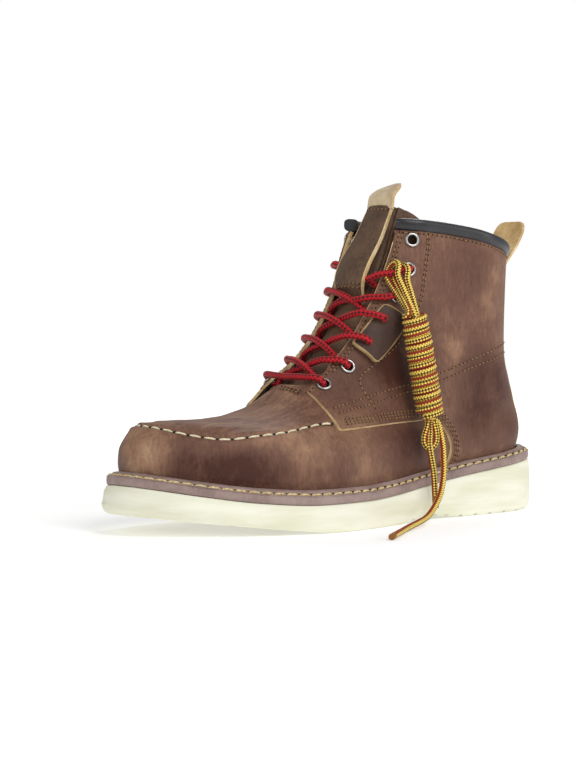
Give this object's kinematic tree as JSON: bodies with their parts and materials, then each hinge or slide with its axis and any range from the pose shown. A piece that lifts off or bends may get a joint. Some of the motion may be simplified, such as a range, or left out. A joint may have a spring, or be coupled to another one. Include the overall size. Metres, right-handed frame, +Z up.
{
  "type": "moc toe work boot",
  "caption": "Left ankle-high lace-up work boot: oiled leather, raised moc seam round the toe, padded collar, pull tabs, flat cream wedge sole; hollow, open at the collar.",
  "frame": {"origin": "on the floor, under the middle of the sole's plan box", "axes": "+X towards the toe, +Y towards the outer side of this left boot, +Z up"},
  "size_m": [0.305, 0.1626, 0.2004],
  "materials": {
    "cream_rubber": "matt cream crepe-like wedge rubber",
    "midsole_rubber": "matt mauve-brown slab",
    "welt_leather": "dull mauve-brown strip, stitched",
    "insole_board": "dull tan footbed",
    "oiled_leather": "oiled brown leather, mottled, low sheen",
    "black_collar": "satin black padded edge",
    "tongue_leather": "oiled brown leather, low sheen",
    "tan_suede": "tan suede",
    "patch_leather": "dark brown leather, raw tan edges",
    "nickel": "nickel plate",
    "red_lace": "round braid, red with black flecks",
    "yellow_lace": "round braid, yellow and red-brown with black flecks"
  },
  "bodies": {
    "root": {"collar_roll": "black_collar", "eyelet_lat_1": "nickel", "eyelet_lat_2": "nickel", "eyelet_lat_3": "nickel", "eyelet_lat_4": "nickel", "eyelet_lat_5": "nickel", "eyelet_lat_6": "nickel", "eyelet_lat_7": "nickel", "eyelet_med_1": "nickel", "eyelet_med_2": "nickel", "eyelet_med_3": "nickel", "eyelet_med_4": "nickel", "eyelet_med_5": "nickel", "eyelet_med_6": "nickel", "eyelet_med_7": "nickel", "heel_pull_tab": "tan_suede", "insole": "insole_board", "lace_bar": "red_lace", "lace_cross_1": "red_lace", "lace_cross_2": "red_lace", "lace_cross_3": "red_lace", "lace_cross_4": "red_lace", "lace_cross_5": "red_lace", "lace_patch": "patch_leather", "midsole": "midsole_rubber", "outsole": "cream_rubber", "spare_lace_hank": "yellow_lace", "spare_lace_loop": "yellow_lace", "spare_lace_tail_long": "yellow_lace", "spare_lace_tail_short": "yellow_lace", "tongue": "tongue_leather", "tongue_pull_tab": "tan_suede", "tongue_strap": "tongue_leather", "upper": "oiled_leather", "welt": "welt_leather"}
  },
  "joints": []
}
